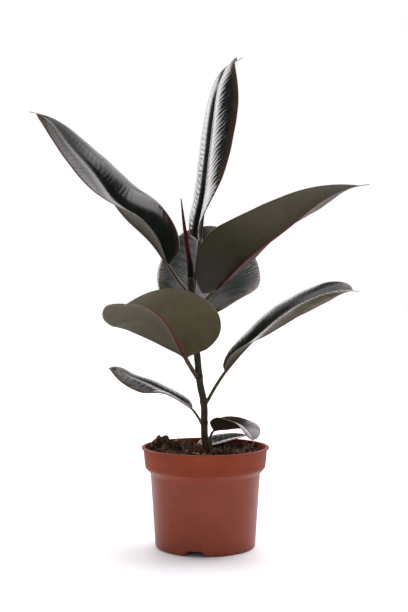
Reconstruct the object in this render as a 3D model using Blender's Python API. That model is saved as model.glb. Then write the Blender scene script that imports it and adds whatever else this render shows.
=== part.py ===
"""A young rubber plant in a terracotta-coloured plastic nursery pot.

Metres, +Z up. The origin is the centre of the pot's foot, on the floor. +X is right and
-Y is towards the viewer of the photograph. Nine leaves, the stem with its side shoot, the
sheath of the next leaf, the soil and the pot are one object each.
"""

import math
import random

import bmesh
import bpy
import numpy as np
from mathutils import Vector

MM = 0.001
GAP = 0.3 * MM

# Pot, millimetres: the radii of the turned profile and the heights of its steps
LIP_RADIUS = 60.0
POT_HEIGHT = 94.0
LIP_THICKNESS = 1.7
BAND_TOP_RADIUS = 58.2
BAND_BOTTOM_RADIUS = 56.6
BAND_BOTTOM = 75.2
SHOULDER_BOTTOM = 69.2
BODY_TOP_RADIUS = 51.5
RING_LINE = 65.0
RING_STEP = 0.3
BODY_BOTTOM_RADIUS = 46.9
FOOT_CORNER = 2.2
WALL = 1.4
FOOT_WIDTH = 1.6
FLOOR_UNDERSIDE = 5.6
FLOOR_TOP = 7.0
PAD_RADIUS = 14.0
PAD_TOP = 1.5
PAD_SLOPE = 2.6
POT_SIDES = 40
NOTCH_WIDTH = 17.0
NOTCH_HEIGHT = 5.0
NOTCH_COUNT = 3
FRONT_NOTCH_ANGLE = -102.0
DRAIN_HOLES = 6
DRAIN_HOLE_RADIUS = 3.5
DRAIN_CIRCLE = 31.0
DRAIN_TURN = 4.0

# Soil, millimetres
SOIL_LEVEL = 87.0
SOIL_EDGE_LEVEL = 88.4
SOIL_RINGS = (9.0, 17.0, 25.0, 33.0, 40.0, 46.0, 51.0)
SOIL_ROUGHNESS = 0.8
HEAP_CENTRE = (-39.0, 25.0)
HEAP_HEIGHT = 10.0
HEAP_SPREAD = 13.0
BARK_PIECES = 20
BARK_SIZE = (2.2, 4.6)
SOIL_SEED = 7

# Stem, millimetres: points of the centre line (x, y, z) from the foot up
STEM_ROUTE = (
    (1.8, 0.0, 62.0),
    (1.8, 0.0, 90.0),
    (-0.4, 0.0, 101.0),
    (-1.0, 0.0, 117.0),
    (-0.9, 0.0, 128.0),
    (-2.0, 0.0, 139.0),
    (-4.9, 0.0, 153.0),
    (-7.6, 0.0, 179.0),
    (-10.4, 0.0, 210.0),
    (-12.9, 0.0, 240.0),
    (-13.6, 0.0, 252.0),
)
COLLAR_RADIUS = 4.8
COLLAR_TOP = 90.0
STEM_RADIUS = 3.3
COLLAR_TAPER = 11.0
NODE_SWELLING = 0.35
NODE_SPREAD = 2.4
STEM_SIDES = 14
SHOOT_ROUTE = ((3.0, -0.8, 84.0), (4.0, -2.0, 92.0), (4.3, -2.4, 98.5), (4.8, -2.9, 102.6))
SHOOT_RADIUS = 2.1

# Sheath of the next leaf, millimetres: (x, y, z, radius) from the top of the stem up
SHEATH_ROUTE = (
    (-13.7, 0.0, 252.3, 3.45),
    (-14.2, 0.0, 262.0, 3.1),
    (-15.7, 0.0, 273.5, 2.3),
    (-17.4, 0.0, 284.5, 2.0),
    (-20.0, 0.0, 303.0, 1.5),
    (-22.7, 0.0, 326.5, 0.45),
)
SHEATH_SIDES = 12

# Leaves. Lengths are in millimetres and angles in degrees. Each list runs evenly from the
# start to the end: heading and rise along stalk and blade together, roll and fold along the
# blade. Heading 0 points to +X and 90 to +Y. Roll turns the blade about its midrib, fold lifts
# both halves from it, and curl is how far each half arches back between midrib and margin.
# broad is how far along the blade it is widest; base and end shape the outline before and
# after that, 0.5 for an ellipse and more for a point. A stalk turns into its blade over the
# share STALK_TO_BLADE of the blade's length.
LEAF_THICKNESS = 0.7
RIB_HALF_WIDTH = 1.5
STALK_TO_BLADE = 0.05
NARROW_WIDTH = 4.0
DRIP_HALF_WIDTH = 0.65
COLUMNS = (0.36, 0.7, 1.0)
STALK_STATIONS = 4
BLADE_STATIONS = 14
SMALL_BLADE_STATIONS = 12
SMALL_BLADE = 110.0
LEAVES = {
    "leaf_lowest": dict(
        height=89.8, stalk=10, blade=56, stalk_radius=1.0, half_width=14, drip=4,
        heading=(107, 40, 25, 18), rise=(9, 10, 8, 2), roll=(6, 6), fold=(8, 8),
        curl=20, broad=0.45, base=0.4, end=0.75,
    ),
    "leaf_side_shoot": dict(
        height=None, stalk=8, blade=60, stalk_radius=1.1, half_width=15.5, drip=4,
        heading=(-34, -36, -40, -48, -62, -75), rise=(75, 12, 10, 2, -30, -72),
        roll=(2, -2, -5, -7, -8), fold=(58, 44, 23, 15, 12), curl=20,
        broad=0.42, base=0.3, end=0.5,
    ),
    "leaf_lower_left": dict(
        height=116.5, stalk=14, blade=104, stalk_radius=1.2, half_width=19.5, drip=6,
        heading=(148, 161, 164, 153), rise=(59, 37, 26, 23, 19, 26, -64),
        roll=(-6, 1, -13, -10, -11), fold=(10, 3, -12, -14, -17), curl=24,
        broad=0.5, base=0.8, end=0.73,
    ),
    "leaf_lower_right": dict(
        height=136.0, stalk=31, blade=167, stalk_radius=1.6, half_width=26.5, drip=6,
        heading=(32, 21, 20, 16, 10), rise=(57, 47, 38, 21, -8),
        roll=(-15, 0, 9, 16, 21), fold=(48, 9, -1, -1, 24), curl=28,
        broad=0.48, base=0.75, end=0.38,
    ),
    "leaf_front_left": dict(
        height=160.0, stalk=26, blade=148, stalk_radius=2.1, half_width=48, drip=6,
        heading=(-130, -112, -110, -116, -110, -108), rise=(48, 40, 36, 21, 7, -9),
        roll=(-2, 4, 15, 18, 15), fold=(17, 7, 0, 2, 17), curl=16,
        broad=0.43, base=0.46, end=0.56,
    ),
    "leaf_back": dict(
        height=197.0, stalk=29, blade=199, stalk_radius=2.1, half_width=53.5, drip=6,
        heading=(80, 84, 95, 103), rise=(28, 26, 33, 33), roll=(-12, 1, -7, -14),
        fold=(12, 4, 6), curl=28, broad=0.46, base=0.47, end=0.55,
    ),
    "leaf_upper_right": dict(
        height=221.5, stalk=30, blade=192, stalk_radius=2.1, half_width=48.5, drip=8,
        heading=(-43, -50, -40, -35, -33), rise=(40, 34, 30, 32, 3),
        roll=(23, 1, -2, -5, -1), fold=(-2, 23, 21, 14, 10), curl=16,
        broad=0.35, base=0.45, end=0.89,
    ),
    "leaf_upper_left": dict(
        height=238.0, stalk=31, blade=208, stalk_radius=1.9, half_width=38.5, drip=8,
        heading=(148, 175, 177, 167, 155), rise=(44, 58, 42, 58, 47, 50, 12),
        roll=(-23, -22, -23, -16, -13), fold=(39, 36, 7, 2, -12), curl=40,
        broad=0.36, base=0.58, end=0.76,
    ),
    "leaf_top": dict(
        height=245.0, stalk=40, blade=212, stalk_radius=1.8, half_width=38, drip=10,
        heading=(51, 60, 66, 65, 41), rise=(76, 80, 74, 67, 23),
        roll=(-42, -42, -40, -34, -22), fold=(26, -4, -11, -11, 17), curl=42,
        broad=0.45, base=0.55, end=0.6,
    ),
}

# Colours as seen in the photograph, 0 to 255, with each surface's roughness
TERRACOTTA = ((131, 66, 48), 0.42)
SOIL_BROWN = ((52, 36, 29), 0.95)
STEM_BROWN = ((70, 58, 44), 0.7)
SHEATH_RED = ((96, 24, 34), 0.35)
LEAF_GREEN = ((24, 33, 24), 0.3)


def clear_scene():
    for old in list(bpy.data.objects):
        bpy.data.objects.remove(old, do_unlink=True)


def linear(value):
    """One 0 to 255 colour value as the linear value that a shader takes."""
    share = value / 255
    if share <= 0.04045:
        return share / 12.92
    return ((share + 0.055) / 1.055) ** 2.4


def material(name, look):
    colour, roughness = look
    made = bpy.data.materials.new(name)
    made.use_nodes = True
    shader = made.node_tree.nodes["Principled BSDF"]
    shader.inputs["Base Color"].default_value = (*map(linear, colour), 1)
    shader.inputs["Roughness"].default_value = roughness
    shader.inputs["Metallic"].default_value = 0
    return made


def new_object(name, mesh_builder, look=None, smooth_angle=35):
    """An object from a bmesh given in millimetres. Its faces are turned outwards."""
    bmesh.ops.recalc_face_normals(mesh_builder, faces=mesh_builder.faces)
    bmesh.ops.scale(mesh_builder, vec=(MM, MM, MM), verts=mesh_builder.verts)
    mesh = bpy.data.meshes.new(name)
    mesh_builder.to_mesh(mesh)
    mesh_builder.free()
    made = bpy.data.objects.new(name, mesh)
    bpy.context.scene.collection.objects.link(made)
    if look is not None:
        mesh.materials.append(look)
    mesh.shade_smooth()
    mesh.set_sharp_from_angle(angle=math.radians(smooth_angle))
    return made


def helper(made):
    """Keeps a cutter or a fused piece out of the finished object."""
    made.hide_render = True
    made.display_type = "WIRE"
    return made


def boolean(target, other, operation):
    step = target.modifiers.new(other.name, "BOOLEAN")
    step.operation = operation
    step.object = other
    step.solver = "EXACT"


def smooth_run(values, share):
    """The value at each share from 0 to 1 of a smooth run through evenly spaced values."""
    given = np.asarray(values, float)
    last = len(given) - 1
    place = np.clip(np.asarray(share, float), 0, 1) * last
    index = np.minimum(place.astype(int), last - 1)
    part = place - index
    if given.ndim > 1:
        part = part[..., None]
    before = given[np.maximum(index - 1, 0)]
    start = given[index]
    end = given[index + 1]
    after = given[np.minimum(index + 2, last)]
    slope_in = (end - before) / 2
    slope_out = (after - start) / 2
    return (
        (2 * part**3 - 3 * part**2 + 1) * start
        + (part**3 - 2 * part**2 + part) * slope_in
        + (3 * part**2 - 2 * part**3) * end
        + (part**3 - part**2) * slope_out
    )


def add_ring(builder, points):
    return [builder.verts.new(point) for point in points]


def bridge(builder, lower, upper):
    """Triangles between two rings of as many points."""
    count = len(lower)
    for here in range(count):
        after = (here + 1) % count
        builder.faces.new((lower[here], lower[after], upper[after]))
        builder.faces.new((lower[here], upper[after], upper[here]))


def turned(profile, sides):
    """A closed solid turned about the Z axis from (radius, height) points.

    The profile starts and ends on the axis.
    """
    builder = bmesh.new()
    rings = []
    for radius, height in profile:
        if radius == 0:
            rings.append([builder.verts.new((0, 0, height))])
            continue
        angles = [2 * math.pi * side / sides for side in range(sides)]
        rings.append(add_ring(builder, [(radius * math.cos(a), radius * math.sin(a), height) for a in angles]))
    for lower, upper in zip(rings, rings[1:]):
        if len(lower) == 1 or len(upper) == 1:
            centre, ring = (lower, upper) if len(lower) == 1 else (upper, lower)
            for here in range(sides):
                builder.faces.new((centre[0], ring[here], ring[(here + 1) % sides]))
        else:
            bridge(builder, lower, upper)
    return builder


def tube(centres, radii, sides):
    """A solid round tube along a list of centres, with flat ends square to its path."""
    builder = bmesh.new()
    side_way = Vector((0, 1, 0))
    rings = []
    for here, centre in enumerate(centres):
        before = Vector(centres[max(here - 1, 0)])
        after = Vector(centres[min(here + 1, len(centres) - 1)])
        along = (after - before).normalized()
        across = along.cross(side_way).normalized()
        up = across.cross(along)
        ring = []
        for side in range(sides):
            angle = 2 * math.pi * side / sides
            offset = across * math.cos(angle) + up * math.sin(angle)
            ring.append(Vector(centre) + offset * radii[here])
        rings.append(add_ring(builder, ring))
    for lower, upper in zip(rings, rings[1:]):
        bridge(builder, lower, upper)
    builder.faces.new(rings[0])
    builder.faces.new(rings[-1])
    bmesh.ops.triangulate(builder, faces=[face for face in builder.faces if len(face.verts) > 4])
    return builder


# Pot


def body_radius(height):
    """Outer radius of the pot's tapered body at a height."""
    share = height / SHOULDER_BOTTOM
    return BODY_BOTTOM_RADIUS + (BODY_TOP_RADIUS - BODY_BOTTOM_RADIUS) * share


def pot_outside():
    """From the edge of the foot up to the lip."""
    points = []
    corner_centre = body_radius(FOOT_CORNER) - FOOT_CORNER
    for step in range(4):
        angle = math.radians(-90 + 30 * step)
        points.append(
            (corner_centre + FOOT_CORNER * math.cos(angle), FOOT_CORNER + FOOT_CORNER * math.sin(angle))
        )
    points += [
        (body_radius(RING_LINE) - RING_STEP, RING_LINE),
        (body_radius(RING_LINE), RING_LINE + RING_STEP),
        (body_radius(SHOULDER_BOTTOM), SHOULDER_BOTTOM),
        (BAND_BOTTOM_RADIUS - 0.9, BAND_BOTTOM - 0.9),
        (BAND_BOTTOM_RADIUS, BAND_BOTTOM + 0.3),
        (BAND_TOP_RADIUS, POT_HEIGHT - LIP_THICKNESS - 0.5),
        (LIP_RADIUS - 0.4, POT_HEIGHT - LIP_THICKNESS),
        (LIP_RADIUS, POT_HEIGHT - LIP_THICKNESS / 2),
        (LIP_RADIUS - 0.4, POT_HEIGHT - 0.2),
        (LIP_RADIUS - 1.0, POT_HEIGHT),
    ]
    return points


def pot_inside():
    """From the lip down to the middle of the floor, which dips to a pad."""
    return [
        (BAND_TOP_RADIUS - WALL + 0.3, POT_HEIGHT),
        (BAND_TOP_RADIUS - WALL, POT_HEIGHT - 0.6),
        (BAND_BOTTOM_RADIUS - WALL, BAND_BOTTOM + 1.2),
        (BODY_TOP_RADIUS - WALL, SHOULDER_BOTTOM + 1.0),
        (body_radius(FLOOR_TOP) - WALL, FLOOR_TOP),
        (PAD_RADIUS + PAD_SLOPE, FLOOR_TOP),
        (PAD_RADIUS - WALL, PAD_TOP),
        (0, PAD_TOP),
    ]


def make_pot(look):
    foot_inside = body_radius(0) - FOOT_CORNER - FOOT_WIDTH
    underside = [
        (0, 0),
        (PAD_RADIUS, 0),
        (PAD_RADIUS + PAD_SLOPE, FLOOR_UNDERSIDE),
        (foot_inside - 0.5, FLOOR_UNDERSIDE),
        (foot_inside, 0),
    ]
    pot = new_object("pot", turned(underside + pot_outside() + pot_inside(), POT_SIDES), look)
    foot_middle = foot_inside + FOOT_WIDTH
    for number in range(NOTCH_COUNT):
        angle = math.radians(FRONT_NOTCH_ANGLE + 360 / NOTCH_COUNT * number)
        builder = bmesh.new()
        bmesh.ops.create_cube(builder, size=1)
        reach = 12.0
        bmesh.ops.scale(builder, vec=(reach, NOTCH_WIDTH, 2 * NOTCH_HEIGHT), verts=builder.verts)
        bmesh.ops.bevel(
            builder,
            geom=[edge for edge in builder.edges if abs(edge.verts[0].co.x - edge.verts[1].co.x) > 1],
            offset=1.0,
            segments=2,
            affect="EDGES",
        )
        notch = helper(new_object(f"notch_{number}", builder))
        notch.location = Vector((math.cos(angle), math.sin(angle), 0)) * foot_middle * MM
        notch.rotation_euler.z = angle
        boolean(pot, notch, "DIFFERENCE")
    for number in range(DRAIN_HOLES):
        angle = math.radians(360 / DRAIN_HOLES * (number + 0.5) + DRAIN_TURN)
        builder = bmesh.new()
        bmesh.ops.create_cone(
            builder,
            cap_ends=True,
            segments=12,
            radius1=DRAIN_HOLE_RADIUS,
            radius2=DRAIN_HOLE_RADIUS,
            depth=8,
        )
        hole = helper(new_object(f"drain_hole_{number}", builder))
        hole.location = (
            DRAIN_CIRCLE * MM * math.cos(angle),
            DRAIN_CIRCLE * MM * math.sin(angle),
            (FLOOR_UNDERSIDE + FLOOR_TOP) / 2 * MM,
        )
        boolean(pot, hole, "DIFFERENCE")
    return pot


# Soil


def soil_height(x, y):
    """Height of the smooth ground: a shallow dish with a heap at the back left."""
    rise = (SOIL_EDGE_LEVEL - SOIL_LEVEL) * (math.hypot(x, y) / SOIL_RINGS[-1]) ** 2
    away = math.hypot(x - HEAP_CENTRE[0], y - HEAP_CENTRE[1])
    heap = HEAP_HEIGHT * math.exp(-((away / HEAP_SPREAD) ** 2))
    return SOIL_LEVEL + rise + heap


def wall_radius(height):
    """Inner radius of the pot's upper band at a height."""
    low, high = BAND_BOTTOM + 1.2, POT_HEIGHT - 0.6
    share = (height - low) / (high - low)
    return BAND_BOTTOM_RADIUS - WALL + (BAND_TOP_RADIUS - BAND_BOTTOM_RADIUS) * share


def soil_ground():
    """The soil as one solid: turned below, and a rough surface above."""
    chance = random.Random(SOIL_SEED)
    clear = GAP / MM
    below = [
        (PAD_RADIUS - WALL - clear, PAD_TOP + clear),
        (PAD_RADIUS + PAD_SLOPE - clear, FLOOR_TOP + clear),
        (body_radius(FLOOR_TOP) - WALL - clear, FLOOR_TOP + clear),
        (BODY_TOP_RADIUS - WALL - clear, SHOULDER_BOTTOM + 1.0 + clear),
        (BAND_BOTTOM_RADIUS - WALL - clear, BAND_BOTTOM + 1.2 + clear),
    ]
    builder = bmesh.new()
    angles = [2 * math.pi * side / POT_SIDES for side in range(POT_SIDES)]

    def ring(radius, height_at):
        points = []
        for angle in angles:
            x, y = radius * math.cos(angle), radius * math.sin(angle)
            points.append((x, y, height_at(x, y)))
        return add_ring(builder, points)

    rings = [ring(radius, lambda x, y, height=height: height) for radius, height in below]
    edge_radius = wall_radius(SOIL_EDGE_LEVEL) - clear
    rings.append(ring(edge_radius, lambda x, y: soil_height(x, y) - 0.4))
    for radius in reversed(SOIL_RINGS):
        rings.append(
            ring(radius, lambda x, y: soil_height(x, y) + chance.uniform(-1, 1) * SOIL_ROUGHNESS)
        )
    for lower, upper in zip(rings, rings[1:]):
        bridge(builder, lower, upper)
    bottom = builder.verts.new((0, 0, PAD_TOP + clear))
    top = builder.verts.new((0, 0, SOIL_LEVEL))
    for here in range(POT_SIDES):
        after = (here + 1) % POT_SIDES
        builder.faces.new((bottom, rings[0][here], rings[0][after]))
        builder.faces.new((top, rings[-1][here], rings[-1][after]))
    return builder


def bark_piece(chance, centre, size):
    """One chip: a squashed and turned icosahedron, half sunk in the soil."""
    builder = bmesh.new()
    bmesh.ops.create_icosphere(builder, subdivisions=1, radius=1)
    length = size * chance.uniform(1.0, 1.5)
    spin = chance.uniform(0, math.pi)
    for vert in builder.verts:
        x = vert.co.x * length * chance.uniform(0.85, 1.1)
        y = vert.co.y * size * chance.uniform(0.7, 1.0)
        z = vert.co.z * size * 0.55
        vert.co = (
            centre[0] + x * math.cos(spin) - y * math.sin(spin),
            centre[1] + x * math.sin(spin) + y * math.cos(spin),
            centre[2] + z,
        )
    return builder


def make_soil(look):
    soil = new_object("soil", soil_ground(), look, smooth_angle=20)
    chance = random.Random(SOIL_SEED)
    reach = SOIL_RINGS[-1] - BARK_SIZE[1] * 1.6
    stem_keep_out = 15.0
    placed = []
    while len(placed) < BARK_PIECES:
        size = chance.uniform(*BARK_SIZE)
        distance = reach * math.sqrt(chance.random())
        angle = chance.uniform(0, 2 * math.pi)
        x, y = distance * math.cos(angle), distance * math.sin(angle)
        if distance < stem_keep_out:
            continue
        if any(math.hypot(x - a, y - b) < (size + other) * 1.5 for a, b, other in placed):
            continue
        placed.append((x, y, size))
        centre = (x, y, soil_height(x, y) + 0.1 * size)
        chip = helper(new_object(f"bark_{len(placed)}", bark_piece(chance, centre, size)))
        boolean(soil, chip, "UNION")
    foot = Vector(STEM_ROUTE[0])
    hole_radius = COLLAR_RADIUS + GAP / MM
    builder = bmesh.new()
    depth = 60.0
    bmesh.ops.create_cone(
        builder, cap_ends=True, segments=24, radius1=hole_radius, radius2=hole_radius, depth=depth
    )
    hole = helper(new_object("stem_hole", builder))
    hole.location = Vector((foot.x, foot.y, foot.z - GAP / MM + depth / 2)) * MM
    boolean(soil, hole, "DIFFERENCE")
    return soil


# Stem


def node_heights():
    return [leaf["height"] for leaf in LEAVES.values() if leaf["height"] is not None]


def stem_radius(height):
    """A straight collar in the soil, a taper, then an even stem with a swelling at each leaf."""
    swelling = 0
    for node in node_heights():
        swelling = max(swelling, math.exp(-(((height - node) / NODE_SPREAD) ** 2)))
    taper = min(max((height - COLLAR_TOP) / COLLAR_TAPER, 0), 1)
    ease = taper * taper * (3 - 2 * taper)
    base = COLLAR_RADIUS + (STEM_RADIUS - COLLAR_RADIUS) * ease
    return base + NODE_SWELLING * swelling * ease


def stem_centre(height):
    """Point of the stem's centre line at a height."""
    line = smooth_run(STEM_ROUTE, np.linspace(0, 1, 400))
    return Vector([float(np.interp(height, line[:, 2], line[:, axis])) for axis in range(3)])


def stem_stations():
    """Heights of the stem's rings: even steps, and a fine one on each side of a node."""
    low, high = STEM_ROUTE[0][2], STEM_ROUTE[-1][2]
    heights = {low, high, COLLAR_TOP - 1.0}
    heights.update(np.arange(COLLAR_TOP, high - 4, 9.0).round(1).tolist())
    for node in node_heights():
        if node > COLLAR_TOP + NODE_SPREAD:
            heights.update((node - 2 * NODE_SPREAD, node, node + 2 * NODE_SPREAD))
    ordered = sorted(heights)
    kept = [low]
    for height in ordered:
        if height - kept[-1] > 1.4:
            kept.append(height)
    kept[-1] = high
    return kept


def make_stem(look):
    heights = stem_stations()
    centres = [stem_centre(height) for height in heights]
    centres[0].z, centres[-1].z = heights[0], heights[-1]
    radii = [stem_radius(height) for height in heights]
    stem = new_object("stem", tube(centres, radii, STEM_SIDES), look)
    shares = np.linspace(0, 1, 8)
    route = [Vector(point) for point in smooth_run(SHOOT_ROUTE, shares)]
    shoot_radii = [SHOOT_RADIUS - 0.5 * float(share) ** 3 for share in shares]
    shoot = helper(new_object("side_shoot", tube(route, shoot_radii, STEM_SIDES)))
    boolean(stem, shoot, "UNION")
    return stem


def make_bud_sheath(look):
    shares = np.linspace(0, 1, 12)
    route = smooth_run(SHEATH_ROUTE, shares)
    centres = [Vector(point[:3]) for point in route]
    return new_object("bud_sheath", tube(centres, route[:, 3].tolist(), SHEATH_SIDES), look)


# Leaves


def ways(heading, rise):
    """Along, up and side directions for a heading and a rise in radians."""
    along = np.stack(
        [np.cos(rise) * np.cos(heading), np.cos(rise) * np.sin(heading), np.sin(rise)], axis=-1
    )
    up = np.stack(
        [-np.sin(rise) * np.cos(heading), -np.sin(rise) * np.sin(heading), np.cos(rise)], axis=-1
    )
    side = np.stack([np.sin(heading), -np.cos(heading), 0 * heading], axis=-1)
    return along, up, side


def leaf_start(leaf):
    """Where the stalk's axis meets its seat, and the way that the seat faces."""
    heading, rise = math.radians(leaf["heading"][0]), math.radians(leaf["rise"][0])
    clear = GAP / MM
    if leaf["height"] is None:
        along = Vector(SHOOT_ROUTE[-1]) - Vector(smooth_run(SHOOT_ROUTE, 0.98))
        facing = along.normalized()
        return Vector(SHOOT_ROUTE[-1]) + facing * clear, facing
    facing = Vector((math.cos(heading), math.sin(heading), 0))
    reach = stem_radius(leaf["height"]) + clear
    return stem_centre(leaf["height"]) + facing * reach, facing


def midrib(leaf, start):
    """Dense points of the midrib with their distance, heading and rise."""
    length = leaf["stalk"] + leaf["blade"]
    shares = np.linspace(0, 1, 400)
    heading = np.radians(smooth_run(leaf["heading"], shares))
    rise = np.radians(smooth_run(leaf["rise"], shares))
    along, _, _ = ways(heading, rise)
    steps = (along[1:] + along[:-1]) / 2 * length / (len(shares) - 1)
    points = np.vstack([[start], np.array(start) + np.cumsum(steps, axis=0)])
    return shares * length, points, heading, rise


def half_width(leaf, distance):
    """Half the blade's width at a distance from its base: a leaf outline, then a thin tip."""
    share = min(max(distance / (leaf["blade"] - leaf["drip"]), 0), 1)
    broad = leaf["broad"]
    if share < broad:
        outline = (1 - (1 - share / broad) ** 2) ** leaf["base"]
    else:
        outline = (1 - ((share - broad) / (1 - broad)) ** 2) ** leaf["end"]
    thin = DRIP_HALF_WIDTH * (1 - 0.35 * distance / leaf["blade"])
    return max(leaf["half_width"] * outline, thin)


def half_section(span, width, fold, curl):
    """Sideways and upwards reach of a half at a span from the midrib, and its slope there."""
    start = fold + curl / 2
    slope = start - curl * span / width
    if abs(curl) < 0.001:
        return span * math.cos(fold), span * math.sin(fold), fold
    radius = width / curl
    sideways = radius * (math.sin(start) - math.sin(slope))
    upwards = radius * (math.cos(slope) - math.cos(start))
    return sideways, upwards, slope


def leaf_ring(leaf, distance, point, up, side):
    """Ring of points around the leaf at one distance from its seat.

    The upper row runs from the left margin to the right one, the lower row back.
    """
    blade_distance = distance - leaf["stalk"]
    share = max(blade_distance, 0) / leaf["blade"]
    roll = math.radians(float(smooth_run(leaf["roll"], share)))
    normal = up * math.cos(roll) + side * math.sin(roll)
    across = side * math.cos(roll) - up * math.sin(roll)
    width = half_width(leaf, blade_distance)
    narrowing = min(1, width / NARROW_WIDTH)
    fold = math.radians(float(smooth_run(leaf["fold"], share))) * narrowing
    curl = math.radians(leaf["curl"]) * narrowing
    rib = min(RIB_HALF_WIDTH, 0.25 * width)
    spans = [rib] + [rib + (width - rib) * column for column in COLUMNS]
    rib_depth = (leaf["stalk_radius"] * 0.75) * max(0, 1 - share) ** 1.5
    upper, lower = [], []
    for sign in (-1, 1):
        for span in spans:
            sideways, upwards, slope = half_section(span, width, fold, curl)
            place = point + across * (sign * sideways) + normal * upwards
            out = normal * math.cos(slope) - across * (sign * math.sin(slope))
            upper.append(place + out * LEAF_THICKNESS / 2)
            lower.append(place - out * LEAF_THICKNESS / 2)
    count = len(spans)
    order = list(range(count - 1, -1, -1))
    left_upper, right_upper = [upper[i] for i in order], upper[count:]
    left_lower, right_lower = [lower[i] for i in order], lower[count:]
    centre_upper = point + normal * LEAF_THICKNESS / 2
    centre_lower = point - normal * (LEAF_THICKNESS / 2 + rib_depth)
    flat = left_upper + [centre_upper] + right_upper
    flat += (left_lower + [centre_lower] + right_lower)[::-1]
    blend = min(max((blade_distance + 1.0) / (STALK_TO_BLADE * leaf["blade"]), 0), 1)
    blend = blend * blend * (3 - 2 * blend)
    ring = []
    for here, target in enumerate(flat):
        angle = math.pi - (here + 0.5) * 2 * math.pi / len(flat)
        radius = leaf["stalk_radius"]
        round_point = point + across * (radius * math.cos(angle)) + normal * (radius * math.sin(angle))
        ring.append(round_point * (1 - blend) + target * blend)
    return ring


def leaf_stations(leaf):
    """Distances from the seat of the leaf's rings, closer together at the ends of the blade."""
    stalk = [leaf["stalk"] * step / STALK_STATIONS for step in range(STALK_STATIONS)]
    count = SMALL_BLADE_STATIONS if leaf["blade"] < SMALL_BLADE else BLADE_STATIONS
    shaped = leaf["blade"] - leaf["drip"]
    turns = [math.pi * step / (count - 1) for step in range(count)]
    blade = [leaf["stalk"] + shaped * (1 - math.cos(turn)) / 2 for turn in turns]
    tip = [leaf["stalk"] + shaped + leaf["drip"] * step for step in (0.5, 1.0)]
    return stalk + blade + tip


def make_leaf(name, leaf, look):
    """Rings joined by triangles that run alike on the upper and the lower face."""
    start, facing = leaf_start(leaf)
    distances, points, headings, rises = midrib(leaf, start)
    along_all, up_all, side_all = ways(headings, rises)
    builder = bmesh.new()
    rings = []
    for distance in leaf_stations(leaf):
        def at(track):
            return Vector([float(np.interp(distance, distances, track[:, axis])) for axis in range(3)])

        along = at(along_all).normalized()
        ring = leaf_ring(leaf, distance, at(points), at(up_all).normalized(), at(side_all).normalized())
        if distance == 0:
            ring = [spot - along * ((spot - start).dot(facing) / along.dot(facing)) for spot in ring]
        rings.append(add_ring(builder, ring))
    size = len(rings[0])
    columns = size // 2
    for near, far in zip(rings, rings[1:]):
        for here in range(size):
            after = (here + 1) % size
            column = min(here, size - 1 - here)
            on_left = column + (here >= columns) * -1 < (columns - 1) / 2
            leans = on_left if here < columns else not on_left
            if leans:
                builder.faces.new((near[here], near[after], far[here]))
                builder.faces.new((near[after], far[after], far[here]))
            else:
                builder.faces.new((near[here], near[after], far[after]))
                builder.faces.new((near[here], far[after], far[here]))
    for ring in (rings[0], rings[-1]):
        builder.faces.new(ring)
    bmesh.ops.triangulate(builder, faces=[face for face in builder.faces if len(face.verts) > 3])
    return new_object(name, builder, look, smooth_angle=50)


def main():
    clear_scene()
    make_pot(material("terracotta_plastic", TERRACOTTA))
    make_soil(material("potting_soil", SOIL_BROWN))
    make_stem(material("stem_bark", STEM_BROWN))
    make_bud_sheath(material("sheath_red", SHEATH_RED))
    for name, leaf in LEAVES.items():
        make_leaf(name, leaf, material(name, LEAF_GREEN))


main()
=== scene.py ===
# %% [markdown]
# # A young rubber plant in its nursery pot
#
# The plant is a short woody stem with broad leathery leaves, a long red sheath that holds the
# next leaf, and a terracotta-coloured plastic pot filled with dark bark and peat. The CAD
# model fixes every size and place. This script dresses it: smooth fine meshes stand for the
# faceted solids, and procedural materials give them wax, veins, bark, plastic and earth.

# %% Load the CAD frame
import math

import bmesh
import bpy
import numpy as np
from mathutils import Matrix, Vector


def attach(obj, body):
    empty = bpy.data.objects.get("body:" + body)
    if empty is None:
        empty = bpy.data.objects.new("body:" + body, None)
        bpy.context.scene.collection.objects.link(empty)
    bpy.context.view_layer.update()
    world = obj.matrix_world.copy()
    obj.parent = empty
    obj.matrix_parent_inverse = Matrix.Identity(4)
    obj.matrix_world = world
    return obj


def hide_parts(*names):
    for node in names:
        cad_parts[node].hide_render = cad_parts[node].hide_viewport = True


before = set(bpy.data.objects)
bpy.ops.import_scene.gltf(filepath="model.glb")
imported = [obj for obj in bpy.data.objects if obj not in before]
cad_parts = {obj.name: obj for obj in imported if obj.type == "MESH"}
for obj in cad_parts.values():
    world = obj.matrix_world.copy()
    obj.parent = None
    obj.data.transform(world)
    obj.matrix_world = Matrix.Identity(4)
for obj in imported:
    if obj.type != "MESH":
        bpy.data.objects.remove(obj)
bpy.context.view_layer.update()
MM = 0.001
BODY = "root"

# %% [markdown]
# ## Helpers for node trees
#
# Shader trees and Geometry Nodes trees are both lists of nodes joined by links. A few small
# helpers keep them short to write. An input may be given as a plain value or as the output of
# another node, and a colour as it is seen on a screen, 0 to 255, which is turned into the
# linear numbers that shaders use.


# %% Node helpers
def feed(tree, socket, value):
    """Give a socket a plain value, or a link from another node's output."""
    if isinstance(value, bpy.types.NodeSocket):
        tree.links.new(value, socket)
    else:
        socket.default_value = value


def add_node(tree, kind, inputs=None, **settings):
    made = tree.nodes.new(kind)
    for name, value in settings.items():
        setattr(made, name, value)
    for name, value in (inputs or {}).items():
        feed(tree, made.inputs[name], value)
    return made


def colour(red, green, blue):
    def linear(value):
        share = value / 255
        return share / 12.92 if share <= 0.04045 else ((share + 0.055) / 1.055) ** 2.4

    return (linear(red), linear(green), linear(blue), 1)


def calculate(tree, operation, first, second=0.0, third=0.0, clamp=False):
    made = add_node(tree, "ShaderNodeMath", operation=operation, use_clamp=clamp)
    for socket, value in zip(made.inputs, (first, second, third)):
        feed(tree, socket, value)
    return made.outputs[0]


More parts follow.
